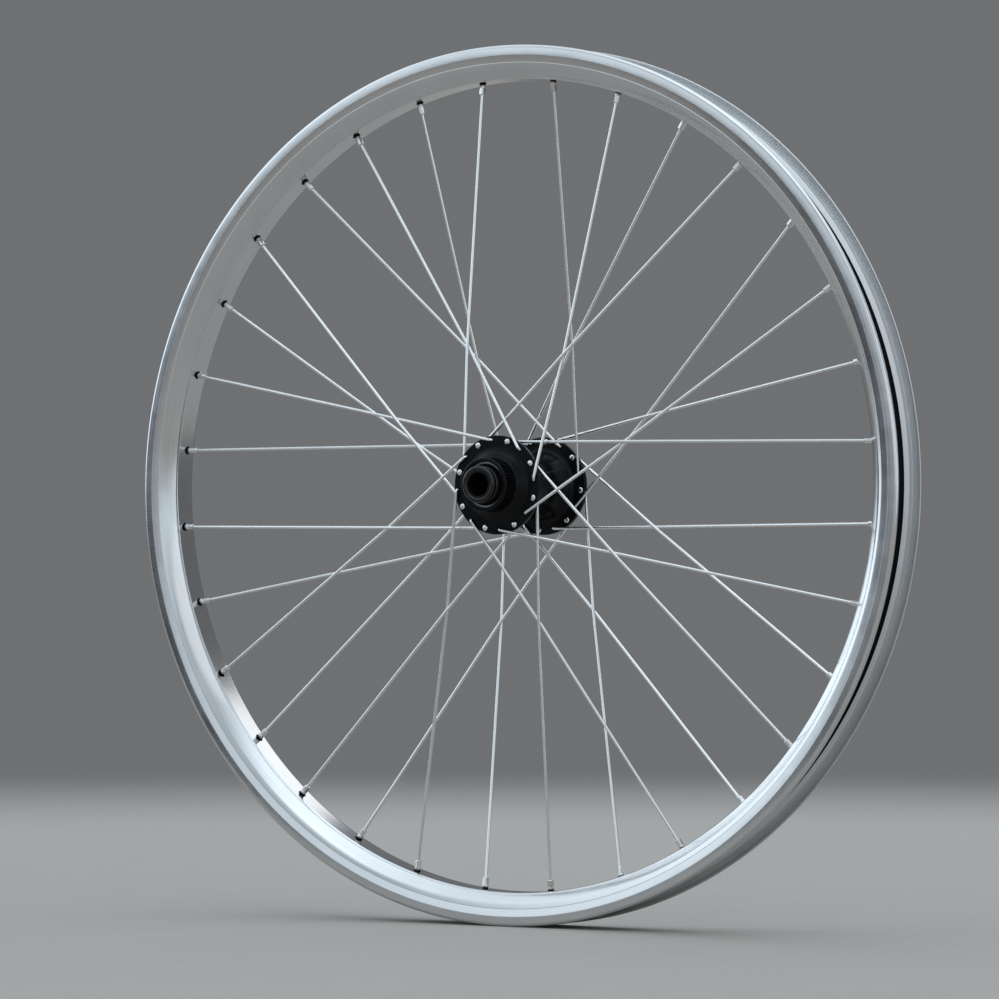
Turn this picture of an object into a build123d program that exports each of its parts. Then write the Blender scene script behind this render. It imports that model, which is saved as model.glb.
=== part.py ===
"""Front mountain-bike wheel: a double-wall rim laced three-cross to a disc hub on a through axle.

The wheel stands in its own plane. Y is its axle, Z is up and the origin is its centre.
The disc side is at -Y. All lengths are in millimetres, all angles in degrees.
"""

import os
from math import cos, radians, sin, sqrt

from build123d import *

os.makedirs("parts", exist_ok=True)

# Rim section
rim_outer_d = 570.0
rim_width = 35.0
rim_depth = 21.5
lip_height = 5.5
lip_thickness = 2.4
bead_shelf_rise = 0.4
shelf_width = 5.6
well_depth = 4.0
well_width = 13.0
sidewall_height = 10.2
spoke_bed_width = 17.6
well_wall = 1.4
bed_wall = 2.0
side_wall = 2.0
valve_hole_d = 6.5

# Lacing
spoke_count = 32
crosses = 3
spoke_d = 2.0
spoke_sides = 6
spoke_head_overhang = 0.85
spoke_head_height = 1.0
spoke_hole_clearance = 0.25
elbow_cut = 1.6
elbow_clearance = 0.15
lacing_gap = 0.1
rim_stagger = 1.5
nipple_flats = 3.5
nipple_length = 7.5
nipple_head_overhang = 0.85
nipple_head_height = 2.4
nipple_clearance = 0.15
nipple_seat_gap = 0.1
thread_gap = 0.2

# Hub shell
spoke_circle_d = 58.0
flange_edge = 3.0
flange_thickness = 3.2
disc_flange_offset = 25.2
plain_flange_offset = 32.8
barrel_wall = 4.0
rotor_boss_wall = 2.3
plain_nose_wall = 4.0

# Axle, bearings and end caps
hub_length = 100.0
axle_bore_d = 15.1
axle_wall = 0.95
axle_inset = 0.5
bearing_d = 30.0
bearing_width = 7.0
bearing_inset = 9.0
race_wall = 1.6
race_sides = 16
race_clearance = 0.02
seal_thickness = 0.8
cap_wall = 3.48
cap_overhang = 6.6
cap_clearance = 0.02
running_gap = 0.3

# Radii, angles and places that follow from these sizes
rim_r = rim_outer_d / 2
bead_seat_r = rim_r - lip_height
well_r = bead_seat_r - well_depth
bed_r = rim_r - rim_depth
mouth_r = bed_r - nipple_length - thread_gap
hole_circle_r = spoke_circle_d / 2
flange_r = hole_circle_r + flange_edge
flange_face = flange_thickness / 2
pitch = 360 / spoke_count
hole_pitch = 2 * pitch
lacing_turn = crosses * hole_pitch
crossing_turn = lacing_turn - hole_pitch / 2
hub_end = hub_length / 2
bearing_r = bearing_d / 2
axle_r = axle_bore_d / 2 + axle_wall


def ring_point(radius, turn, y):
    """A point at a radius from the axle, turned from +Z towards +X, at a place along the axle."""
    return Vector(radius * sin(radians(turn)), y, radius * cos(radians(turn)))


class Spoke:
    """The path of one spoke, from its head on a flange to the mouth of its nipple."""

    def __init__(self, number):
        self.rim_turn = (number + 0.5) * pitch
        on_disc_side = number % 2 == 1
        outward = -1 if on_disc_side else 1
        flange_y = -disc_flange_offset if on_disc_side else plain_flange_offset
        runs_outside = number % 4 in (1, 2)
        twist = 1 if number % 4 in (0, 1) else -1
        self.bend = outward if runs_outside else -outward
        self.rim_y = outward * rim_stagger
        self.hole = ring_point(hole_circle_r, self.rim_turn + twist * lacing_turn, flange_y)
        self.seat = self.hole - Vector(0, self.bend * flange_face, 0)
        self.mouth = ring_point(mouth_r, self.rim_turn, self.rim_y)
        crossing = self.hole + (self.mouth - self.hole) * self.crossing_share()
        self.crossing = crossing - Vector(0, self.bend * (spoke_d + lacing_gap) / 2, 0)
        self.corner = self.hole + Vector(0, self.bend * (flange_face + self.elbow_rise()), 0)

    def crossing_share(self):
        """How far along its run a spoke meets the last spoke that it crosses."""
        turn = radians(crossing_turn)
        along = mouth_r * cos(radians(lacing_turn)) - hole_circle_r
        across = mouth_r * sin(radians(lacing_turn))
        return hole_circle_r * sin(turn) / (across * cos(turn) - along * sin(turn))

    def elbow_rise(self):
        """How far the elbow stands off the flange, so that the run clears the flange's edge."""
        run = Vector(self.crossing.X - self.hole.X, 0, self.crossing.Z - self.hole.Z)
        toward = (self.hole.X * run.X + self.hole.Z * run.Z) / run.length
        overhang = sqrt(flange_r**2 - hole_circle_r**2 + toward**2) - toward
        fall = overhang / run.length
        drop = self.bend * (self.hole.Y - self.crossing.Y) + flange_face
        clear = (spoke_d / 2 + elbow_clearance + fall * drop) / (1 - fall)
        return max(clear, elbow_cut + elbow_clearance)

    def path(self):
        """The corners of the wire, from its head to the nipple."""
        along_hole = Vector(0, self.bend, 0)
        along_run = (self.crossing - self.corner).normalized()
        elbow_start = self.corner - along_hole * elbow_cut
        elbow_end = self.corner + along_run * elbow_cut
        return [self.seat, elbow_start, elbow_end, self.crossing, self.mouth]

    def head_plane(self):
        """The flange face under the head, facing along the hole."""
        return Plane(self.seat, z_dir=(0, self.bend, 0), x_dir=self.mouth - self.hole)

    def nipple_plane(self, radius):
        """A plane across the nipple at a distance from the axle, facing the tyre."""
        outward = ring_point(1, self.rim_turn, 0)
        return Plane(ring_point(radius, self.rim_turn, self.rim_y), z_dir=outward, x_dir=(0, 1, 0))


spokes = [Spoke(number) for number in range(spoke_count)]

# Rim: half of the section is drawn and mirrored about the wheel's own plane
half_width = rim_width / 2
half_bed = spoke_bed_width / 2
half_lip = half_width - lip_thickness
sidewall_foot = rim_r - sidewall_height
chamber_floor = bed_r + bed_wall
chamber_top = well_r - well_wall
flank_slope = (half_width - half_bed) / (sidewall_foot - bed_r)
with BuildPart() as rim:
    with BuildSketch(Plane.XY):
        with BuildLine():
            Polyline(
                (well_r, 0),
                (well_r, well_width / 2),
                (bead_seat_r - bead_shelf_rise, half_lip - shelf_width),
                (bead_seat_r, half_lip),
                (rim_r, half_lip),
                (rim_r, half_width),
                (sidewall_foot, half_width),
                (bed_r, half_bed),
                (bed_r, 0),
            )
            mirror(about=Plane.XZ)
        make_face()
        with BuildLine():
            Polyline(
                (chamber_top, 0),
                (chamber_top, half_bed + flank_slope * (chamber_top - bed_r) - side_wall),
                (chamber_floor, half_bed + flank_slope * bed_wall - side_wall),
                (chamber_floor, 0),
            )
            mirror(about=Plane.XZ)
        make_face(mode=Mode.SUBTRACT)
    revolve(axis=Axis.Y)
    nipple_hole_width = nipple_flats + 2 * nipple_clearance
    with BuildSketch(*[spoke.nipple_plane(bed_r - bed_wall) for spoke in spokes]):
        Rectangle(nipple_hole_width, nipple_hole_width)
    extrude(amount=3 * bed_wall, mode=Mode.SUBTRACT)
    with BuildSketch(Plane.XY):
        Circle(valve_hole_d / 2)
    extrude(amount=-rim_r, mode=Mode.SUBTRACT)
rim.part.label = "rim"
export_step(rim.part, "parts/rim.step")

# Spokes: one wire each, with a mitred elbow at the flange and a slight set at the last crossing
for number, spoke in enumerate(spokes, start=1):
    label = f"spoke_{number:02d}"
    with BuildPart() as wire:
        with BuildLine() as run:
            Polyline(*spoke.path())
        with BuildSketch(spoke.head_plane()):
            RegularPolygon(spoke_d / 2, spoke_sides)
        sweep(path=run.line, transition=Transition.RIGHT)
        with BuildSketch(spoke.head_plane()):
            RegularPolygon(spoke_d / 2 + spoke_head_overhang, spoke_sides)
        extrude(amount=-spoke_head_height)
    wire.part.label = label
    export_step(wire.part, f"parts/{label}.step")

# Nipples: a square shank through the spoke bed, with its head inside the rim
head_seat = chamber_floor + nipple_seat_gap
nipple_head_width = nipple_flats + 2 * nipple_head_overhang
with BuildPart() as nipples:
    with BuildSketch(*[spoke.nipple_plane(bed_r - nipple_length) for spoke in spokes]):
        Rectangle(nipple_flats, nipple_flats)
    extrude(amount=nipple_length + head_seat - bed_r)
    with BuildSketch(*[spoke.nipple_plane(head_seat) for spoke in spokes]):
        Rectangle(nipple_head_width, nipple_head_width)
    extrude(amount=nipple_head_height)
nipples.part.label = "nipples"
export_step(nipples.part, "parts/nipples.step")

# Hub shell: turned in one piece, with the rotor boss on the disc side
shell_end = hub_end - cap_overhang - running_gap
boss_r = bearing_r + rotor_boss_wall
barrel_r = bearing_r + barrel_wall
nose_r = bearing_r + plain_nose_wall
spoke_hole_width = spoke_d + 2 * spoke_hole_clearance
with BuildPart() as hub_shell:
    with BuildSketch(Plane.XY):
        with BuildLine():
            Polyline(
                (bearing_r, -shell_end),
                (boss_r, -shell_end),
                (boss_r, -disc_flange_offset - flange_face),
                (flange_r, -disc_flange_offset - flange_face),
                (flange_r, -disc_flange_offset + flange_face),
                (barrel_r, -disc_flange_offset + flange_face),
                (barrel_r, plain_flange_offset - flange_face),
                (flange_r, plain_flange_offset - flange_face),
                (flange_r, plain_flange_offset + flange_face),
                (nose_r, plain_flange_offset + flange_face),
                (nose_r, shell_end),
                (bearing_r, shell_end),
                close=True,
            )
        make_face()
    revolve(axis=Axis.Y)
    with BuildSketch(*[spoke.head_plane() for spoke in spokes]):
        Rectangle(spoke_hole_width, spoke_hole_width)
    extrude(amount=flange_thickness, mode=Mode.SUBTRACT)
hub_shell.part.label = "hub_shell"
export_step(hub_shell.part, "parts/hub_shell.step")

# Axle: a plain tube that the fork's through axle slides into
with BuildPart() as axle:
    with BuildSketch(Plane.XZ.offset(axle_inset - hub_end)):
        Circle(axle_r)
        Circle(axle_bore_d / 2, mode=Mode.SUBTRACT)
    extrude(amount=hub_length - 2 * axle_inset)
axle.part.label = "axle"
export_step(axle.part, "parts/axle.step")

# End caps: collars on both ends of the axle that hold the inner races in place
cap_bore_r = axle_r + cap_clearance
with BuildPart() as end_caps:
    with BuildSketch(Plane.XZ.offset(-hub_end)):
        Circle(cap_bore_r + cap_wall)
        Circle(cap_bore_r, mode=Mode.SUBTRACT)
    extrude(amount=bearing_inset)
    mirror(about=Plane.XZ)
end_caps.part.label = "end_caps"
export_step(end_caps.part, "parts/end_caps.step")

# Bearings: an inner race on the axle and an outer race in the shell, on both sides
race_face = hub_end - bearing_inset
inner_bore_r = axle_r + race_clearance
inner_race_r = inner_bore_r + race_wall
outer_race_r = bearing_r - race_clearance
outer_bore_r = outer_race_r - race_wall
with BuildPart() as inner_races:
    with BuildSketch(Plane.XZ.offset(-race_face)):
        RegularPolygon(inner_race_r, race_sides)
        RegularPolygon(inner_bore_r, race_sides, major_radius=False, mode=Mode.SUBTRACT)
    extrude(amount=bearing_width)
    mirror(about=Plane.XZ)
inner_races.part.label = "bearing_inner_races"
export_step(inner_races.part, "parts/bearing_inner_races.step")

seal_face = race_face - running_gap
with BuildPart() as outer_races:
    with BuildSketch(Plane.XZ.offset(-seal_face)):
        RegularPolygon(outer_race_r, race_sides)
        RegularPolygon(outer_bore_r, race_sides, major_radius=False, mode=Mode.SUBTRACT)
    extrude(amount=bearing_width - running_gap)
    mirror(about=Plane.XZ)
outer_races.part.label = "bearing_outer_races"
export_step(outer_races.part, "parts/bearing_outer_races.step")

# Seals: thin discs in the outer races that close the bearings from outside
with BuildPart() as seals:
    with BuildSketch(Plane.XZ.offset(-seal_face)):
        RegularPolygon(outer_bore_r - race_clearance, race_sides)
        RegularPolygon(inner_race_r + running_gap, race_sides, major_radius=False, mode=Mode.SUBTRACT)
    extrude(amount=seal_thickness)
    mirror(about=Plane.XZ)
seals.part.label = "bearing_seals"
export_step(seals.part, "parts/bearing_seals.step")
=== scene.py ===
"""A spoked mountain-bike front wheel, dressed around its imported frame.

Lengths are in metres. The axle lies along Y, the disc side is at -Y and Z is up.
"""

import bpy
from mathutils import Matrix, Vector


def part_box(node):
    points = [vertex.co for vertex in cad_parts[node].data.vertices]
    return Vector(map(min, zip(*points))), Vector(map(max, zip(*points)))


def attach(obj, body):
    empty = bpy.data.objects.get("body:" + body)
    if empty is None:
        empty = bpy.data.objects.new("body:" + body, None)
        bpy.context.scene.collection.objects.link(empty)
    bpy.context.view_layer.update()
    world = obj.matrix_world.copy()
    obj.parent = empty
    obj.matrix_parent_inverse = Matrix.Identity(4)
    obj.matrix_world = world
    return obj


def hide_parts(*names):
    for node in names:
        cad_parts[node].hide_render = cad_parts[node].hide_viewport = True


bl_info = {
    "name": "Spoked Front Wheel",
    "version": (1, 0, 0),
    "blender": (4, 5, 0),
    "location": "3D View > Sidebar > Wheel",
    "description": "Builds a laced mountain-bike front wheel and the stage that it stands on",
    "category": "Add Mesh",
}

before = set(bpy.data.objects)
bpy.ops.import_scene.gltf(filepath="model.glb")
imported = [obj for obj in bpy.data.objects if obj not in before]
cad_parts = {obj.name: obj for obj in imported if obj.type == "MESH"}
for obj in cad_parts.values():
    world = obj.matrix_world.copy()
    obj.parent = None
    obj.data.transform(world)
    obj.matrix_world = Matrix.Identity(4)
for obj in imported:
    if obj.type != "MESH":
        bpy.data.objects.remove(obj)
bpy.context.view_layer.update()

from math import atan2, cos, pi, radians, sin, sqrt, tan

import bmesh
import bpy
from bpy.props import FloatProperty, FloatVectorProperty, IntProperty, PointerProperty
from mathutils import Matrix, Vector

MM = 0.001
AXLE = Vector((0, 1, 0))
UP = Vector((0, 0, 1))

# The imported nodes' corners that sizes are taken from.
rim_low, rim_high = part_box("rim")
hub_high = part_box("hub_shell")[1]
cap_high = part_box("end_caps")[1]
axle_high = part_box("axle")[1]
race_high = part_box("bearing_outer_races")[1]

# How many flat faces stand for a full turn of each round shape.
RIM_FACETS = 288
HUB_FACETS = 192
CAP_FACETS = 128
AXLE_FACETS = 96
FLOOR_FACETS = 96
VALVE_HOLE_FACETS = 32
NIPPLE_HOLE_FACETS = 20
NIPPLE_FACETS = 16
SPOKE_HOLE_FACETS = 16
SPOKE_FACETS = 14
ELBOW_STEPS = 8

# Small fits that the lacing and the hub need.
CROSSING_GAP = 0.1 * MM
FLANGE_GAP = 0.15 * MM
LEAST_ELBOW_RISE = 1.75 * MM
BEARING_FIT = 0.02 * MM

# The picture, in pixels, and the camera's sensor, in millimetres.
IMAGE_SIZE = 999
SENSOR_WIDTH = 36.0

# The floor's radius, and the distances from the wheel at which it starts to fade and is gone.
FLOOR_RADIUS = 8.0
FLOOR_FADE = (1.2, 2.6)

# Each lamp's name, place, width and power in watts.
LAMPS = (
    ("key", (-0.25, -2.5, 3.0), 1.8, 1.5),
    ("fill", (2.6, -1.6, 1.6), 2.4, 6.0),
    ("back", (0.06, 2.99, 1.82), 1.6, 6.0),
)


def length(name, description, default):
    """A length that a user may change."""
    return FloatProperty(
        name=name, description=description, default=default, min=0, precision=5,
        subtype="DISTANCE", unit="LENGTH",
    )


def angle(name, description, degrees):
    """An angle that a user may change."""
    return FloatProperty(
        name=name, description=description, default=radians(degrees), subtype="ANGLE",
    )


def whole_number(name, description, default, least):
    """A count that a user may change."""
    return IntProperty(name=name, description=description, default=default, min=least)


def color(name, description, default):
    """A colour that a user may change."""
    return FloatVectorProperty(
        name=name, description=description, default=default, size=3, min=0, max=1,
        subtype="COLOR",
    )


class RimSizes(bpy.types.PropertyGroup):
    """The rim's section."""

    outer_radius: length("Outer radius", "From the axle to the top of the lips", rim_high[2])
    half_width: length("Half width", "From the wheel's plane to a sidewall", rim_high[1])
    depth: length("Depth", "From the top of the lips to the spoke bed", 21.5 * MM)
    bed_width: length("Spoke bed width", "Across the face that the spokes come out of", 17.6 * MM)
    lip_roll: length("Lip roll", "Radius of a lip's outer edge", 2.2 * MM)
    sidewall: length("Sidewall height", "From the top of a lip to the line at its foot", 6.4 * MM)
    shoulder: length("Shoulder height", "From the sidewall's foot to the groove", 4.9 * MM)
    lean: length("Shoulder lean", "How far the shoulder leans in towards the groove", 0.55 * MM)
    groove: length("Groove depth", "Of the groove between shoulder and flank", 0.13 * MM)
    ridge: length("Ridge height", "From the groove to the flank", 2.2 * MM)
    lip_height: length("Lip height", "From the tyre's seat to the top of a lip", 5.5 * MM)
    lip_thickness: length("Lip thickness", "Across one lip", 2.4 * MM)
    well_depth: length("Well depth", "From the tyre's seat to the floor of the well", 4.0 * MM)
    well_width: length("Well width", "Across the floor of the well", 13.0 * MM)
    valve_hole: length("Valve hole", "Across the valve hole", 6.5 * MM)

    @property
    def bed(self):
        """From the axle to the spoke bed."""
        return self.outer_radius - self.depth

    @property
    def well(self):
        """From the axle to the floor of the well."""
        return self.outer_radius - self.lip_height - self.well_depth

    @property
    def lip(self):
        """From the wheel's plane to the inner face of a lip."""
        return self.half_width - self.lip_thickness


class LacingSizes(bpy.types.PropertyGroup):
    """The spokes and nipples, and how they are laced."""

    count: whole_number("Spokes", "Number of spokes", 32, 12)
    crosses: whole_number("Crosses", "Spokes of its side that each crosses", 3, 1)
    spoke: length("Spoke", "Across a spoke's wire", 2.0 * MM)
    head: length("Spoke head", "Across the head of a spoke", 3.7 * MM)
    elbow: length("Elbow radius", "Radius of the bend next to the flange", 1.7 * MM)
    stagger: length("Rim stagger", "From the wheel's plane to a nipple", 1.5 * MM)
    nipple: length("Nipple length", "How far a nipple stands out of the rim", 7.5 * MM)
    nipple_hole: length("Nipple hole", "Across the hole that a nipple sits in", 5.6 * MM)


class HubSizes(bpy.types.PropertyGroup):
    """The hub shell, its axle and its bearings."""

    spoke_circle: length("Spoke circle", "Radius of the circle of spoke holes", 29.0 * MM)
    flange: length("Flange", "Radius of a flange", hub_high[0])
    flange_thickness: length("Flange thickness", "Across one flange", 3.2 * MM)
    disc_offset: length("Disc flange", "From the wheel's plane to the disc's flange", 25.2 * MM)
    plain_offset: length("Plain flange", "From the wheel's plane to the other flange", 32.8 * MM)
    barrel: length("Barrel", "Radius of the shell between its flanges", 18.0 * MM)
    root: length("Flange root", "Radius where a flange runs into the barrel", 23.0 * MM)
    boss: length("Rotor boss", "Radius of the splined boss for the brake rotor", 17.3 * MM)
    bearing: length("Bearing", "Outer radius of a bearing", 15.0 * MM)
    axle_bore: length("Axle bore", "Radius of the hole for the through axle", 7.55 * MM)


class Finishes(bpy.types.PropertyGroup):
    """The colours of the wheel's materials."""

    rim: color("Rim", "Polished aluminium", (0.70, 0.705, 0.71))
    spoke: color("Spokes", "Bright drawn steel", (0.78, 0.775, 0.765))
    nipple: color("Nipples", "Nickel plating", (0.74, 0.73, 0.71))
    # Painted shade, not grease: the near-black colour painted on each nipple where it enters the
    # rim's hole.
    seat_shade: color("Seat shade", "Dark grease at the nipples' seats", (0.012, 0.011, 0.010))
    hub: color("Hub", "Black anodised aluminium", (0.004, 0.004, 0.0045))
    steel: color("Bearing steel", "Ground steel", (0.20, 0.20, 0.205))
    rubber: color("Rubber", "Seals and rim strip", (0.003, 0.003, 0.004))


class StageSettings(bpy.types.PropertyGroup):
    """The camera, the floor and the light."""

    azimuth: angle("Azimuth", "Round the wheel", 31.37)
    elevation: angle("Elevation", "Above the hub", -0.9)
    distance: length("Distance", "From the camera to the hub", 3.370)
    lens: FloatProperty(name="Lens", description="Focal length in millimetres", default=187.1)
    centre: FloatVectorProperty(
        name="Hub in the picture", description="Where the hub lies in the picture, in pixels",
        size=2, default=(518.0, 485.5),
    )
    floor: color("Floor", "Pale floor", (0.355, 0.325, 0.295))
    far_floor: color("Far floor", "The floor where it fades out", (0.38, 0.375, 0.365))
    wall: color("Wall", "Plain wall behind the wheel", (0.16, 0.163, 0.17))
    screen: color("Screen", "Dark screen beside the camera", (0.035, 0.04, 0.05))
    panel: color("Panels", "Narrow grey panels at the wheel's two ends", (0.45, 0.455, 0.47))
    sky: color("Light", "Soft light overhead and behind the camera", (0.80, 0.91, 1.0))


class WheelSettings(bpy.types.PropertyGroup):
    """Everything that a user may change."""

    rim: PointerProperty(type=RimSizes)
    lacing: PointerProperty(type=LacingSizes)
    hub: PointerProperty(type=HubSizes)
    finishes: PointerProperty(type=Finishes)
    stage: PointerProperty(type=StageSettings)


class Shade:
    """A value in a node tree. Expressions on it add Math nodes."""

    def __init__(self, tree, socket=None):
        self.tree = tree
        self.socket = socket

    def node(self, kind, settings=None, sockets=None, output=0):
        """Add a node by its type, its settings and the values or links of its sockets."""
        node = self.tree.nodes.new("ShaderNode" + kind)
        for key, value in (settings or {}).items():
            setattr(node, key, value)
        for key, value in (sockets or {}).items():
            if isinstance(value, Shade):
                self.tree.links.new(value.socket, node.inputs[key])
            else:
                node.inputs[key].default_value = value
        return Shade(self.tree, node.outputs[output] if len(node.outputs) else None)

    def math(self, operation, *values):
        """Add a Math node."""
        return self.node("Math", {"operation": operation}, dict(enumerate(values)))

    def __add__(self, other):
        return self.math("ADD", self, other)

    def __sub__(self, other):
        return self.math("SUBTRACT", self, other)

    def __rsub__(self, other):
        return self.math("SUBTRACT", other, self)

    def __mul__(self, other):
        return self.math("MULTIPLY", self, other)

    def __pow__(self, other):
        return self.math("POWER", self, other)

    def __rpow__(self, other):
        return self.math("POWER", other, self)

    __radd__ = __add__
    __rmul__ = __mul__

    def size(self):
        """The value without its sign."""
        return self.math("ABSOLUTE", self)

    def rise(self, low, high):
        """From 0 at low to 1 at high, with soft ends."""
        return self.node(
            "MapRange", {"interpolation_type": "SMOOTHSTEP"},
            {"Value": self, "From Min": low, "From Max": high},
        )

    def parts(self):
        """The three parts of a vector."""
        return [self.node("SeparateXYZ", None, {0: self}, output) for output in range(3)]

    def mix(self, first, second):
        """A colour between two others, by this value."""
        return self.node("Mix", {"data_type": "RGBA"}, {0: self, 6: first, 7: second}, 2)


def distance(first, second):
    """How far a point lies from the line on which two of its coordinates are 0."""
    return (first * first + second * second) ** 0.5


def opaque(shade, factor=1.0):
    """A colour with its alpha, made darker or lighter by a factor."""
    return (*[part * factor for part in shade], 1.0)


def blank_material(name):
    """A new material, and its Object coordinates to write expressions on."""
    material = bpy.data.materials.new(name)
    material.use_nodes = True
    material.node_tree.nodes.clear()
    return material, Shade(material.node_tree).node("TexCoord", output="Object")


def surface(place, sockets):
    """End a material in its one shader."""
    shader = place.node("BsdfPrincipled", None, sockets)
    place.node("OutputMaterial", None, {"Surface": shader})


def noise(place, scale, detail=2.0, roughness=0.5):
    """Soft cloudy variation."""
    return place.node(
        "TexNoise", None,
        {"Vector": place, "Scale": scale, "Detail": detail, "Roughness": roughness},
    )


def turning_marks(place, along, across):
    """Fine lines that run round the axle: slow along the turn and quick across it."""
    x, y, z = place.parts()
    radius = distance(x, z)
    stretched = place.node("CombineXYZ", None, {0: x * along, 1: y * across, 2: z * along})
    return place.node(
        "TexNoise", {"noise_dimensions": "4D"},
        {"Vector": stretched, "W": radius * across, "Scale": 1.0, "Detail": 2.0},
    )


def polished_aluminium(shade, well, lip):
    """Bright rim metal with faint polishing lines and cloudy handling marks.

    Between the lips, from the well outwards, it is left satin.
    """
    material, place = blank_material("polished_aluminium")
    x, y, z = place.parts()
    above_well = distance(x, z).rise(well - 1.5 * MM, well - 0.5 * MM)
    channel = above_well * (1 - y.size().rise(lip, lip + 1.0 * MM))
    lines = turning_marks(place, along=5.0, across=700.0)
    clouds = noise(place, scale=24.0, detail=5.0, roughness=0.6)
    waves = noise(place, scale=26.0)
    tone = (lines * 0.5 + clouds * 0.5).mix(opaque(shade, 0.76), opaque(shade, 1.10))
    relief = place.node("Bump", None, {"Distance": 0.2 * MM, "Height": waves + lines * 0.005})
    surface(place, {
        "Base Color": tone, "Metallic": 1.0,
        "Roughness": 0.08 + lines * 0.07 + clouds * 0.10 + channel * 0.35,
        "Normal": relief,
    })
    return material


def drawn_steel(shade):
    """Bright wire, a little duller in patches."""
    material, place = blank_material("drawn_steel")
    patches = noise(place, scale=60.0, detail=3.0)
    grain = noise(place, scale=900.0)
    surface(place, {
        "Base Color": patches.mix(opaque(shade, 0.90), opaque(shade, 1.06)), "Metallic": 1.0,
        "Roughness": 0.18 + patches * 0.10 + grain * 0.04,
    })
    return material


def nickel_plate(shade, seat_shade, seat):
    """Bright plating with small dull spots, and painted shade where a nipple sits in the rim."""
    material, place = blank_material("nickel_plate")
    spots = noise(place, scale=420.0, detail=3.0)
    x, _, z = place.parts()
    # Painted shade: each nipple darkens, with a ragged edge, towards its seat in the rim, where
    # the hole's shade falls. The same mask also makes it rougher there.
    ragged = distance(x, z) + spots * 1.2 * MM
    painted_seat_shade = ragged.rise(seat - 1.7 * MM, seat - 0.1 * MM)
    plate = spots.mix(opaque(shade, 0.80), opaque(shade, 1.06))
    surface(place, {
        "Base Color": painted_seat_shade.mix(plate, opaque(seat_shade)), "Metallic": 1.0,
        "Roughness": 0.16 + spots * 0.16 + painted_seat_shade * 0.3,
    })
    return material


def black_anodising(name, shade, gloss, reflection=0.12):
    """Gloss black metal with faint turning lines."""
    material, place = blank_material(name)
    lines = turning_marks(place, along=20.0, across=2200.0)
    clouds = noise(place, scale=90.0, detail=3.0)
    relief = place.node("Bump", None, {"Strength": 0.08, "Distance": 0.05 * MM, "Height": lines})
    surface(place, {
        "Base Color": clouds.mix(opaque(shade, 0.75), opaque(shade, 1.5)),
        "Roughness": gloss + lines * 0.08 + clouds * 0.06,
        "Specular IOR Level": reflection,
        "Normal": relief,
    })
    return material


def ground_steel(shade):
    """Bearing steel with grinding lines."""
    material, place = blank_material("ground_steel")
    lines = turning_marks(place, along=20.0, across=3500.0)
    surface(place, {
        "Base Color": lines.mix(opaque(shade, 0.8), opaque(shade, 1.1)), "Metallic": 1.0,
        "Roughness": 0.2 + lines * 0.15,
    })
    return material


def black_rubber(name, shade, grain_scale):
    """Matt black rubber or nylon with a fine grain."""
    material, place = blank_material(name)
    grain = noise(place, grain_scale, detail=4.0, roughness=0.6)
    relief = place.node("Bump", None, {"Strength": 0.2, "Distance": 0.1 * MM, "Height": grain})
    surface(place, {
        "Base Color": grain.mix(opaque(shade, 0.7), opaque(shade, 1.6)),
        "Roughness": 0.55 + grain * 0.25,
        "Specular IOR Level": 0.06,
        "Normal": relief,
    })
    return material


def turn_outline(corners, facets, segments=4):
    """A closed outline of (radius, place along the axle, rounding), turned about the axle."""
    solid = bmesh.new()
    points = [solid.verts.new((radius, along, 0)) for radius, along, _ in corners]
    solid.faces.new(points)
    for point, (_, _, rounding) in zip(points, corners):
        if rounding:
            bmesh.ops.bevel(
                solid, geom=[point], offset=rounding, offset_type="OFFSET", segments=segments,
                profile=0.5, affect="VERTICES", material=-1,
            )
    bmesh.ops.delete(solid, geom=solid.faces[:], context="FACES_ONLY")
    bmesh.ops.spin(
        solid, geom=solid.verts[:] + solid.edges[:], cent=(0, 0, 0), axis=AXLE,
        angle=2 * pi, steps=facets, use_merge=True,
    )
    bmesh.ops.recalc_face_normals(solid, faces=solid.faces[:])
    return solid


def fine_groove(radius, along, depth):
    """The corners of a small V-shaped groove round a face that looks along the axle."""
    half = 2 * depth
    return [(radius + half, along, 0), (radius, along - depth, 0), (radius - half, along, 0)]


def mirrored(corners):
    """An outline on the other side of the wheel's plane."""
    return [(radius, -along, rounding) for radius, along, rounding in corners]


def both_sides(corners):
    """An outline for one side of the wheel's plane, joined to its mirror image."""
    return corners + mirrored(reversed(corners))


def to_mesh(solid, name):
    """Move a bmesh into a new mesh."""
    mesh = bpy.data.meshes.new(name)
    solid.to_mesh(mesh)
    solid.free()
    return mesh


def joined(*solids):
    """Several bmeshes in one."""
    whole = bmesh.new()
    for solid in solids:
        mesh = to_mesh(solid, "part")
        whole.from_mesh(mesh)
        bpy.data.meshes.remove(mesh)
    return whole


def matched_pair(corners, facets):
    """Two turned rings, one on each side of the wheel's plane."""
    return joined(turn_outline(corners, facets), turn_outline(mirrored(corners), facets))


def aim(place, direction):
    """A matrix that moves a shape to a place and turns its Z axis to a direction."""
    return Matrix.Translation(place) @ direction.to_track_quat("Z", "Y").to_matrix().to_4x4()


def rod(start, end, radius, sides):
    """A closed cylinder between two points."""
    solid = bmesh.new()
    run = end - start
    bmesh.ops.create_cone(
        solid, cap_ends=True, segments=sides, radius1=radius, radius2=radius, depth=run.length,
        matrix=aim((start + end) / 2, run),
    )
    return solid


def modified(mesh, kind, settings):
    """A mesh as a modifier leaves it."""
    piece = bpy.data.objects.new("worked", mesh)
    bpy.context.scene.collection.objects.link(piece)
    modifier = piece.modifiers.new(kind, kind)
    for key, value in settings.items():
        setattr(modifier, key, value)
    graph = bpy.context.evaluated_depsgraph_get()
    result = bpy.data.meshes.new_from_object(piece.evaluated_get(graph))
    bpy.data.objects.remove(piece)
    bpy.data.meshes.remove(mesh)
    return result


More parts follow.
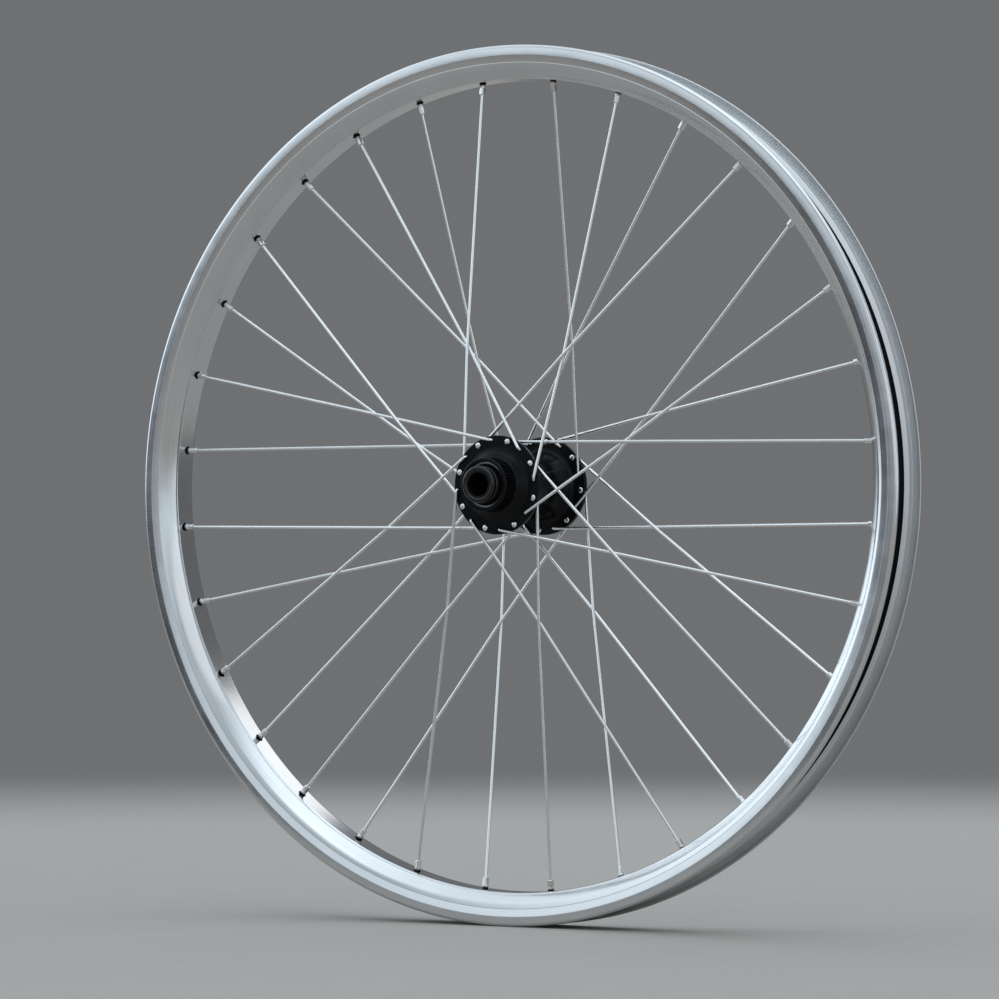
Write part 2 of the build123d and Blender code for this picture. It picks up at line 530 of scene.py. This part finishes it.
def drill(mesh, cutters):
    """Cut closed shapes out of a mesh."""
    bits = bpy.data.objects.new("bits", to_mesh(joined(*cutters), "bits"))
    bpy.context.scene.collection.objects.link(bits)
    cut = {"operation": "DIFFERENCE", "solver": "EXACT", "object": bits}
    drilled = modified(mesh, "BOOLEAN", cut)
    shape = bits.data
    bpy.data.objects.remove(bits)
    bpy.data.meshes.remove(shape)
    return drilled


def add_piece(name, mesh, material, body, nodes=(), crease=35):
    """Put a finished mesh in the scene, on its body and in the place of its frame nodes."""
    mesh.materials.clear()
    mesh.materials.append(material)
    mesh.polygons.foreach_set("use_smooth", [True] * len(mesh.polygons))
    mesh.set_sharp_from_angle(angle=radians(crease))
    mesh = modified(mesh, "WEIGHTED_NORMAL", {"keep_sharp": True, "weight": 100})
    mesh.name = name
    piece = bpy.data.objects.new(name, mesh)
    bpy.context.scene.collection.objects.link(piece)
    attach(piece, body)
    if nodes:
        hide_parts(*nodes)


def ring_point(radius, turn, along):
    """A point at a radius from the axle, turned from Z towards X."""
    return Vector((radius * sin(turn), along, radius * cos(turn)))


def valve_cutter(rim, low, high):
    """A rod for the valve hole, which lies at the bottom, between two radii."""
    ends = [ring_point(radius, pi, 0) for radius in (low, high)]
    return rod(*ends, rim.valve_hole / 2, VALVE_HOLE_FACETS)


class SpokeLine:
    """The line of one spoke, from its head on a flange to its nipple's seat in the rim."""

    def __init__(self, wheel, number):
        rim, lacing, hub = wheel.rim, wheel.lacing, wheel.hub
        pitch = 2 * pi / lacing.count
        lacing_turn = lacing.crosses * 2 * pitch
        rim_turn = (number + 0.5) * pitch
        face = hub.flange_thickness / 2
        wire = lacing.spoke / 2
        on_disc_side = number % 2 == 1
        outward = -1 if on_disc_side else 1
        runs_outside = number % 4 in (1, 2)
        twist = 1 if number % 4 in (0, 1) else -1
        flange = -hub.disc_offset if on_disc_side else hub.plain_offset
        self.bend = outward if runs_outside else -outward
        self.hole = ring_point(hub.spoke_circle, rim_turn + twist * lacing_turn, flange)
        self.seat = self.hole - AXLE * self.bend * face
        self.bed = ring_point(rim.bed, rim_turn, outward * lacing.stagger)
        share = self.crossing_share(rim.bed, hub.spoke_circle, lacing_turn, lacing_turn - pitch)
        set_back = AXLE * self.bend * (wire + CROSSING_GAP / 2)
        self.crossing = self.hole + (self.bed - self.hole) * share - set_back
        rise = self.elbow_rise(hub, wire + FLANGE_GAP)
        self.corner = self.hole + AXLE * self.bend * (face + rise)
        self.end = (self.bed - self.crossing).normalized()
        self.mouth = self.bed - self.end * lacing.nipple

    @staticmethod
    def crossing_share(bed, circle, lacing_turn, crossing_turn):
        """How far along its run a spoke meets the last spoke that it crosses."""
        along = bed * cos(lacing_turn) - circle
        across = bed * sin(lacing_turn)
        spread = across * cos(crossing_turn) - along * sin(crossing_turn)
        return circle * sin(crossing_turn) / spread

    def elbow_rise(self, hub, clear):
        """How far the elbow stands off the flange, so that the run clears the flange's edge."""
        run = Vector((self.crossing.x - self.hole.x, 0, self.crossing.z - self.hole.z))
        toward = self.hole.dot(run) / run.length
        overhang = sqrt(hub.flange**2 - hub.spoke_circle**2 + toward**2) - toward
        fall = overhang / run.length
        drop = self.bend * (self.hole.y - self.crossing.y) + hub.flange_thickness / 2
        return max((clear + fall * drop) / (1 - fall), LEAST_ELBOW_RISE)


def spoke_lines(wheel):
    """The lines of all the spokes, in order round the rim."""
    return [SpokeLine(wheel, number) for number in range(wheel.lacing.count)]


def edges_between(geometry, points):
    """The edges of some geometry whose both ends are among some points."""
    points = set(points)
    edges = [item for item in geometry if isinstance(item, bmesh.types.BMEdge)]
    return [edge for edge in edges if set(edge.verts) <= points]


def start_ring(solid, middle, direction, radius, sides):
    """A closed disc across a direction. Its rim is the ring to pull on."""
    place = aim(middle, direction)
    bmesh.ops.create_circle(solid, cap_ends=True, segments=sides, radius=radius, matrix=place)
    return solid.edges[:]


def pull(solid, ring, shift, scale=1.0):
    """Draw a ring of edges out by a shift, make it wider or narrower, and return the new ring."""
    new = bmesh.ops.extrude_edge_only(solid, edges=ring)["geom"]
    points = [item for item in new if isinstance(item, bmesh.types.BMVert)]
    bmesh.ops.translate(solid, verts=points, vec=shift)
    middle = sum((point.co for point in points), Vector()) / len(points)
    bmesh.ops.scale(solid, verts=points, vec=(scale,) * 3, space=Matrix.Translation(-middle))
    return edges_between(new, points)


def draw_out(solid, ring, direction, radius, steps):
    """Pull a ring along a direction, in steps of a shift and a new radius."""
    for shift, new_radius in steps:
        ring = pull(solid, ring, direction * shift, new_radius / radius)
        radius = new_radius
    return ring


def close_off(solid, ring):
    """Fill the last ring of a pulled shape and turn its faces outwards."""
    bmesh.ops.edgeloop_fill(solid, edges=ring)
    bmesh.ops.recalc_face_normals(solid, faces=solid.faces[:])
    return solid


def spoke_wire(line, lacing):
    """A round wire with a domed head, a bent elbow and a slight set at its last crossing."""
    height = 1.0 * MM
    wire, head = lacing.spoke / 2, lacing.head / 2
    crown = head * 0.5
    down_hole = AXLE * line.bend
    down_run = (line.crossing - line.corner).normalized()
    bend = down_hole.angle(down_run)
    cut = lacing.elbow * tan(bend / 2)
    solid = bmesh.new()
    ring = start_ring(solid, line.seat - down_hole * height, down_hole, crown, SPOKE_FACETS)
    ring = draw_out(solid, ring, down_hole, crown, [
        (height * 0.2, head * 0.78),
        (height * 0.3, head),
        (height * 0.3, head),
        (height * 0.2, wire),
    ])
    elbow_start = line.corner - down_hole * cut
    ring = pull(solid, ring, elbow_start - line.seat)
    turn_axis = down_hole.cross(down_run).normalized()
    points = list(dict.fromkeys(point for edge in ring for point in edge.verts))
    swept = bmesh.ops.spin(
        solid, geom=points + ring, cent=elbow_start + turn_axis.cross(down_hole) * lacing.elbow,
        axis=turn_axis, angle=bend, steps=ELBOW_STEPS,
    )["geom_last"]
    ring = [item for item in swept if isinstance(item, bmesh.types.BMEdge)]
    elbow_end = line.corner + down_run * cut
    ring = pull(solid, ring, line.crossing - elbow_end)
    ring = pull(solid, ring, line.bed - line.crossing)
    return close_off(solid, ring)


def nipple_solid(lacing):
    """One nipple along Z, from its mouth at 0 to its head inside the rim."""
    mouth, barrel, neck, head = 1.05 * MM, 2.1 * MM, 2.0 * MM, 3.0 * MM
    flats, flats_low, flats_high = 1.64 * MM, 0.25 * MM, 4.9 * MM
    solid = bmesh.new()
    ring = start_ring(solid, UP * 0.5 * MM, UP, mouth, NIPPLE_FACETS)
    ring = draw_out(solid, ring, UP, mouth, [
        (-0.5 * MM, 1.15 * MM),
        (0.0, 1.45 * MM),
        (0.3 * MM, 1.85 * MM),
        (0.25 * MM, barrel),
        (4.2 * MM, barrel),
        (0.35 * MM, neck),
        (0.2 * MM, neck),
        (lacing.nipple - 2.6 * MM, neck),
        (0.3 * MM, head),
        (1.8 * MM, head),
        (0.5 * MM, 2.3 * MM),
    ])
    for point in solid.verts:
        if flats_low < point.co.z < flats_high:
            point.co.x = max(-flats, min(flats, point.co.x))
            point.co.y = max(-flats, min(flats, point.co.y))
    return close_off(solid, ring)


class WHEEL_OT_rim(bpy.types.Operator):
    """Turn the hollow rim and drill its nipple holes and its valve hole"""

    bl_idname = "wheel.rim"
    bl_label = "Rim"

    def execute(self, context):
        wheel = context.scene.wheel
        rim = wheel.rim
        outside = turn_outline(both_sides(self.outer_outline(rim)), RIM_FACETS, segments=5)
        inside = turn_outline(both_sides([
            (rim.well - 1.4 * MM, rim.half_width - 3.0 * MM, 1.0 * MM),
            (rim.bed + 2.0 * MM, rim.bed_width / 2 - 0.6 * MM, 1.0 * MM),
        ]), RIM_FACETS)
        bmesh.ops.reverse_faces(inside, faces=inside.faces[:])
        hole = wheel.lacing.nipple_hole / 2
        cutters = []
        for line in spoke_lines(wheel):
            start, end = line.bed - line.end * 4 * MM, line.bed + line.end * 5 * MM
            cutters.append(rod(start, end, hole, NIPPLE_HOLE_FACETS))
        cutters.append(valve_cutter(rim, rim.bed - 5 * MM, rim.well + 5 * MM))
        mesh = drill(to_mesh(joined(outside, inside), "rim"), cutters)
        material = polished_aluminium(wheel.finishes.rim, rim.well, rim.lip)
        add_piece("rim_polished", mesh, material, "wheel", ["rim"], crease=30)
        return {"FINISHED"}

    @staticmethod
    def outer_outline(rim):
        """One half of the outline, from the well over a lip to the spoke bed."""
        top, side, lip = rim.outer_radius, rim.half_width, rim.lip
        seat = top - rim.lip_height
        foot = top - rim.sidewall
        gutter = foot - rim.shoulder
        flank = Vector((gutter - rim.ridge, side - rim.lean - 0.7 * MM))
        edge = Vector((rim.bed, rim.bed_width / 2))
        outward = Vector((edge.y - flank.y, flank.x - edge.x)).normalized()
        swell = (flank + edge) / 2 + outward * 0.45 * MM
        tyre_channel = [
            (rim.well, rim.well_width / 2, 1.6 * MM),
            (seat + 0.1 * MM, lip - 5.5 * MM, 0.6 * MM),
            (seat + 0.1 * MM, lip - 4.5 * MM, 0.3 * MM),
            (seat - 0.3 * MM, lip - 4.0 * MM, 0.2 * MM),
            (seat, lip - 1.6 * MM, 0.3 * MM),
            (seat - 0.5 * MM, lip - 1.1 * MM, 0.2 * MM),
            (seat - 0.5 * MM, lip, 0.4 * MM),
        ]
        hooked_lip = [
            (top - 2.2 * MM, lip, 0.6 * MM),
            (top - 1.6 * MM, lip - 0.4 * MM, 0.3 * MM),
            (top, lip - 0.4 * MM, 0.6 * MM),
            (top, side, rim.lip_roll),
        ]
        outer_wall = [
            *fine_groove(foot, side, 0.07 * MM),
            *fine_groove(gutter, side - rim.lean, rim.groove),
            (flank.x, flank.y, 1.8 * MM),
            (swell.x, swell.y, 4.0 * MM),
            (edge.x, edge.y, 1.6 * MM),
        ]
        return tyre_channel + hooked_lip + outer_wall


class WHEEL_OT_rim_strip(bpy.types.Operator):
    """Lay the black strip in the rim's well"""

    bl_idname = "wheel.rim_strip"
    bl_label = "Rim strip"

    def execute(self, context):
        wheel = context.scene.wheel
        rim = wheel.rim
        well, half = rim.well, rim.well_width / 2
        strip = turn_outline(both_sides([
            (well + 0.5 * MM, half - 0.4 * MM, 0.6 * MM),
            (well + 1.8 * MM, half + 0.6 * MM, 0.1 * MM),
            (well + 1.5 * MM, half + 1.0 * MM, 0.1 * MM),
            (well + 0.1 * MM, half - 0.1 * MM, 0.6 * MM),
        ]), RIM_FACETS)
        cutter = valve_cutter(rim, well - 3 * MM, well + 3 * MM)
        mesh = drill(to_mesh(strip, "strip"), [cutter])
        material = black_rubber("black_nylon", wheel.finishes.rubber, grain_scale=1500.0)
        add_piece("rim_strip", mesh, material, "wheel")
        return {"FINISHED"}


class WHEEL_OT_spokes(bpy.types.Operator):
    """Bend the spokes and lace them"""

    bl_idname = "wheel.spokes"
    bl_label = "Spokes"

    def execute(self, context):
        wheel = context.scene.wheel
        material = drawn_steel(wheel.finishes.spoke)
        for number, line in enumerate(spoke_lines(wheel), start=1):
            mesh = to_mesh(spoke_wire(line, wheel.lacing), "spoke")
            add_piece(
                f"spoke_wire_{number:02d}", mesh, material, "wheel",
                [f"spoke_{number:02d}"],
            )
        return {"FINISHED"}


class WHEEL_OT_nipples(bpy.types.Operator):
    """Seat a nipple on the end of each spoke"""

    bl_idname = "wheel.nipples"
    bl_label = "Nipples"

    def execute(self, context):
        wheel = context.scene.wheel
        finishes = wheel.finishes
        pattern = to_mesh(nipple_solid(wheel.lacing), "nipple")
        whole = bmesh.new()
        for line in spoke_lines(wheel):
            old = set(whole.verts)
            whole.from_mesh(pattern)
            fresh = [point for point in whole.verts if point not in old]
            bmesh.ops.transform(whole, matrix=aim(line.mouth, line.end), verts=fresh)
        mesh = to_mesh(whole, "nipples")
        material = nickel_plate(finishes.nipple, finishes.seat_shade, wheel.rim.bed)
        add_piece("nipples_plated", mesh, material, "wheel", ["nipples"])
        return {"FINISHED"}


class WHEEL_OT_hub_shell(bpy.types.Operator):
    """Turn the hub shell, cut its rotor splines and drill its spoke holes"""

    bl_idname = "wheel.hub_shell"
    bl_label = "Hub shell"

    def execute(self, context):
        wheel = context.scene.wheel
        hub = wheel.hub
        shell = turn_outline(self.outline(hub, hub_high[1]), HUB_FACETS)
        self.cut_splines(shell, hub.boss)
        reach = AXLE * (hub.flange_thickness / 2 + 2 * MM)
        hole = 1.3 * MM
        cutters = [
            rod(line.hole - reach, line.hole + reach, hole, SPOKE_HOLE_FACETS)
            for line in spoke_lines(wheel)
        ]
        mesh = drill(to_mesh(shell, "hub"), cutters)
        material = black_anodising("hub_anodising", wheel.finishes.hub, gloss=0.15)
        add_piece("hub_shell_turned", mesh, material, "wheel", ["hub_shell"])
        return {"FINISHED"}

    @staticmethod
    def outline(hub, end):
        """The shell's outline, from the disc side to the other and back through the bore."""
        face = hub.flange_thickness / 2
        near, far = -hub.disc_offset, hub.plain_offset
        seat = end - 9.4 * MM
        collar = hub.bearing + 4 * MM
        bore = hub.bearing - 1.6 * MM
        taper = 10 * MM
        disc_side = [
            (hub.bearing, -end, 0.4 * MM),
            (hub.boss, -end, 0.8 * MM),
            (hub.boss, near - face - 3.6 * MM, 1.2 * MM),
            (hub.root - 3.0 * MM, near - face - 2.2 * MM, 1.0 * MM),
            (hub.root, near - face, 1.6 * MM),
            (hub.flange, near - face, 0.7 * MM),
            (hub.flange, near + face, 0.7 * MM),
            (hub.root, near + face, 2.0 * MM),
            (hub.barrel, near + face + taper, 5.0 * MM),
        ]
        plain_side = [
            (hub.barrel, far - face - taper, 5.0 * MM),
            (hub.root, far - face, 2.0 * MM),
            (hub.flange, far - face, 0.7 * MM),
            (hub.flange, far + face, 0.7 * MM),
            (hub.root, far + face, 1.6 * MM),
            (collar, far + face + 3.0 * MM, 1.2 * MM),
            (collar, end, 1.0 * MM),
            (hub.bearing, end, 0.4 * MM),
        ]
        inside = [
            (hub.bearing, seat, 0.2 * MM),
            (bore, seat, 0.3 * MM),
            (bore, -seat, 0.3 * MM),
            (hub.bearing, -seat, 0.2 * MM),
        ]
        return disc_side + plain_side + inside

    @staticmethod
    def cut_splines(shell, radius):
        """Sink every other stretch of the rotor boss, to leave teeth along it."""
        teeth, tooth_height, tolerance = 48, 0.8 * MM, 0.02 * MM
        grooves = []
        for face in shell.faces:
            middle = face.calc_center_median()
            reaches = [Vector((point.co.x, point.co.z)).length for point in face.verts]
            on_boss = all(abs(reach - radius) < tolerance for reach in reaches)
            share = (atan2(middle.x, middle.z) / (2 * pi) * teeth) % 1.0
            if on_boss and middle.y < 0 and share < 0.5:
                grooves.append(face)
        bmesh.ops.inset_region(shell, faces=grooves, thickness=tolerance, depth=-tooth_height)


class WHEEL_OT_axle(bpy.types.Operator):
    """Turn the axle tube"""

    bl_idname = "wheel.axle"
    bl_label = "Axle"

    def execute(self, context):
        wheel = context.scene.wheel
        outer, end = axle_high[0], axle_high[1]
        tube = turn_outline(both_sides([
            (outer, end, 0.3 * MM),
            (wheel.hub.axle_bore, end, 0.3 * MM),
        ]), AXLE_FACETS)
        mesh = to_mesh(tube, "axle")
        material = black_anodising("axle_anodising", wheel.finishes.hub, gloss=0.30)
        add_piece("axle_tube", mesh, material, "axle_set", ["axle"])
        return {"FINISHED"}


class WHEEL_OT_end_caps(bpy.types.Operator):
    """Turn the end caps that hold the wheel in the fork"""

    bl_idname = "wheel.end_caps"
    bl_label = "End caps"

    def execute(self, context):
        wheel = context.scene.wheel
        outer, end = cap_high[0], cap_high[1]
        bore = axle_high[0] + BEARING_FIT
        inner = end - 9.0 * MM
        groove = outer - 0.7 * MM
        caps = matched_pair([
            (bore, inner, 0.3 * MM),
            (outer, inner, 0.4 * MM),
            (outer, end - 5.2 * MM, 0.2 * MM),
            (groove, end - 4.9 * MM, 0.2 * MM),
            (groove, end - 4.1 * MM, 0.2 * MM),
            (outer, end - 3.8 * MM, 0.2 * MM),
            (outer, end - 1.0 * MM, 0.3 * MM),
            (outer - 1.0 * MM, end, 0.3 * MM),
            (bore + 1.0 * MM, end, 0.3 * MM),
            (bore, end - 0.8 * MM, 0.2 * MM),
        ], CAP_FACETS)
        mesh = to_mesh(caps, "caps")
        material = black_anodising("cap_anodising", wheel.finishes.hub, gloss=0.14, reflection=0.4)
        add_piece("end_caps_turned", mesh, material, "axle_set", ["end_caps"])
        return {"FINISHED"}


class WHEEL_OT_bearings(bpy.types.Operator):
    """Grind the bearing races and mould their seals"""

    bl_idname = "wheel.bearings"
    bl_label = "Bearings"

    def execute(self, context):
        wheel = context.scene.wheel
        outer, axle = wheel.hub.bearing, axle_high[0]
        wall, gap, seal = 1.6 * MM, 0.3 * MM, 0.8 * MM
        front, back = race_high[1], race_high[1] - 6.7 * MM
        steel = ground_steel(wheel.finishes.steel)
        rubber = black_rubber("seal_rubber", wheel.finishes.rubber, grain_scale=2500.0)
        rings = [
            (
                "bearing_outer_races", steel, "wheel", "bearing_steel",
                (outer - wall, outer - BEARING_FIT), (back, front),
            ),
            (
                "bearing_inner_races", steel, "axle_set", "bearing_steel",
                (axle + BEARING_FIT, axle + wall), (back, front + gap),
            ),
            (
                "bearing_seals", rubber, "wheel", "seal_rubber",
                (axle + wall + gap, outer - wall - BEARING_FIT), (front - seal, front),
            ),
        ]
        for node, material, body, slot, (inside, outside), (low, high) in rings:
            pair = matched_pair([
                (inside, low, 0.15 * MM),
                (outside, low, 0.15 * MM),
                (outside, high, 0.3 * MM),
                (inside, high, 0.2 * MM),
            ], AXLE_FACETS)
            add_piece(f"{node}_round", to_mesh(pair, node), material, body, [node])
        return {"FINISHED"}


def look_at_hub(thing, place):
    """Put a lamp or a camera in its place, turned to the hub."""
    thing.location = place
    thing.rotation_euler = (-Vector(place)).to_track_quat("-Z", "Y").to_euler()
    bpy.context.scene.collection.objects.link(thing)


class WHEEL_OT_stage(bpy.types.Operator):
    """Lay the floor, hang the lights and place the camera"""

    bl_idname = "wheel.stage"
    bl_label = "Stage"

    def execute(self, context):
        stage = context.scene.wheel.stage
        self.lay_floor(stage, rim_low[2])
        self.paint_room(context, stage)
        self.hang_lamps()
        self.place_camera(context, stage)
        context.scene.view_settings.view_transform = "Standard"
        return {"FINISHED"}

    @staticmethod
    def lay_floor(stage, height):
        """Lay a pale disc under the wheel that fades out around it."""
        disc = bmesh.new()
        bmesh.ops.create_circle(
            disc, cap_ends=True, segments=FLOOR_FACETS, radius=FLOOR_RADIUS,
            matrix=Matrix.Translation((0, 0, height)),
        )
        floor = bpy.data.objects.new("floor", to_mesh(disc, "floor"))
        bpy.context.scene.collection.objects.link(floor)
        material, place = blank_material("pale_floor")
        x, y, _ = place.parts()
        away = distance(x, y).rise(*FLOOR_FADE)
        clouds = noise(place, scale=40.0, detail=4.0)
        tone = clouds.mix(opaque(stage.floor, 0.97), opaque(stage.floor, 1.03))
        ground = place.node("BsdfPrincipled", None, {"Base Color": tone, "Roughness": 0.85})
        clear = place.node("BsdfTransparent")
        faded = place.node("MixShader", None, {0: away, 1: ground, 2: clear})
        place.node("OutputMaterial", None, {"Surface": faded})
        floor.data.materials.append(material)

    @staticmethod
    def paint_room(context, stage):
        """Paint the plain room that lights the wheel and that its metal mirrors."""
        world = bpy.data.worlds.new("room")
        world.use_nodes = True
        world.node_tree.nodes.clear()
        toward = Shade(world.node_tree).node("TexCoord", output="Generated")
        across, along, height = toward.parts()
        sideways = across.size()
        # From about -1 at the wall behind the wheel to about 1 on the camera's side.
        front = across * 0.64 - along * 0.76
        # At eye level: the wall, then the screen, then open floor, with a panel at each end.
        level = front.rise(-0.2, 0.15).mix(opaque(stage.wall), opaque(stage.screen))
        level = front.rise(0.27, 0.62).mix(level, opaque(stage.far_floor))
        level = sideways.rise(0.93, 0.99).mix(level, opaque(stage.panel))
        # The light above starts low in front and at the two ends, and high over the wall.
        window = front.rise(0.24, 0.5) * height.rise(-0.02, 0.16)
        taller_behind = along.rise(0.3, 0.8) * 0.38
        lower_at_ends = sideways.rise(0.75, 0.95) * 0.14
        over_wall = height + front * 0.09 - taller_behind + lower_at_ends
        lit = window.math("MAXIMUM", window, over_wall.rise(0.05, 0.14))
        # It is brighter along its lower edge, overhead and on the left.
        lower_edge = 0.32 - height.rise(0.12, 0.3) * 0.32
        overhead = height.rise(0.63, 0.88) * across.rise(-0.9, 0.1)
        left = (0 - across).rise(0.3, 0.9) * 0.9
        gain = lower_edge + overhead + left
        sky = gain.mix(opaque(stage.sky, 0.68), opaque(stage.sky, 1.68))
        above = lit.mix(level, sky)
        # The ground's edge is soft behind the wheel and sharper in front.
        near = front.rise(-0.2, 0.2)
        ground = (height + 0.125 - near * 0.035) * (1 + near * 1.5)
        room = ground.rise(-0.075, 0.075).mix(opaque(stage.far_floor), above)
        light = toward.node("Background", None, {"Color": room, "Strength": 1.0})
        toward.node("OutputWorld", None, {"Surface": light})
        context.scene.world = world

    @staticmethod
    def hang_lamps():
        """Hang round soft lamps that look at the hub."""
        for name, place, width, power in LAMPS:
            data = bpy.data.lights.new(name, "AREA")
            data.shape = "DISK"
            data.size = width
            data.energy = power
            look_at_hub(bpy.data.objects.new(name, data), place)

    @staticmethod
    def place_camera(context, stage):
        """Place the camera, and shift its picture so that the hub lies where it should."""
        back = Vector((
            sin(stage.azimuth) * cos(stage.elevation),
            -cos(stage.azimuth) * cos(stage.elevation),
            sin(stage.elevation),
        ))
        data = bpy.data.cameras.new("camera")
        data.lens = stage.lens
        data.sensor_width = SENSOR_WIDTH
        data.shift_x = (IMAGE_SIZE / 2 - stage.centre[0]) / IMAGE_SIZE
        data.shift_y = (stage.centre[1] - IMAGE_SIZE / 2) / IMAGE_SIZE
        camera = bpy.data.objects.new("camera", data)
        look_at_hub(camera, back * stage.distance)
        context.scene.camera = camera


class VIEW3D_PT_wheel(bpy.types.Panel):
    """Builds the wheel piece by piece"""

    bl_label = "Spoked Front Wheel"
    bl_space_type = "VIEW_3D"
    bl_region_type = "UI"
    bl_category = "Wheel"

    def draw(self, context):
        wheel = context.scene.wheel
        for group in ("rim", "lacing", "hub", "finishes", "stage"):
            settings = getattr(wheel, group)
            box = self.layout.box()
            box.label(text=group.capitalize())
            for name in settings.__annotations__:
                box.prop(settings, name)
        for operator in OPERATORS:
            self.layout.operator(operator.bl_idname)


OPERATORS = (
    WHEEL_OT_rim,
    WHEEL_OT_rim_strip,
    WHEEL_OT_spokes,
    WHEEL_OT_nipples,
    WHEEL_OT_hub_shell,
    WHEEL_OT_axle,
    WHEEL_OT_end_caps,
    WHEEL_OT_bearings,
    WHEEL_OT_stage,
)
CLASSES = (
    RimSizes,
    LacingSizes,
    HubSizes,
    Finishes,
    StageSettings,
    WheelSettings,
    *OPERATORS,
    VIEW3D_PT_wheel,
)


def register():
    for item in CLASSES:
        bpy.utils.register_class(item)
    bpy.types.Scene.wheel = PointerProperty(type=WheelSettings)


def unregister():
    del bpy.types.Scene.wheel
    for item in reversed(CLASSES):
        bpy.utils.unregister_class(item)


def main():
    register()
    bpy.ops.wheel.rim()
    bpy.ops.wheel.rim_strip()
    bpy.ops.wheel.spokes()
    bpy.ops.wheel.nipples()
    bpy.ops.wheel.hub_shell()
    bpy.ops.wheel.axle()
    bpy.ops.wheel.end_caps()
    bpy.ops.wheel.bearings()
    bpy.ops.wheel.stage()


if __name__ == "__main__":
    main()
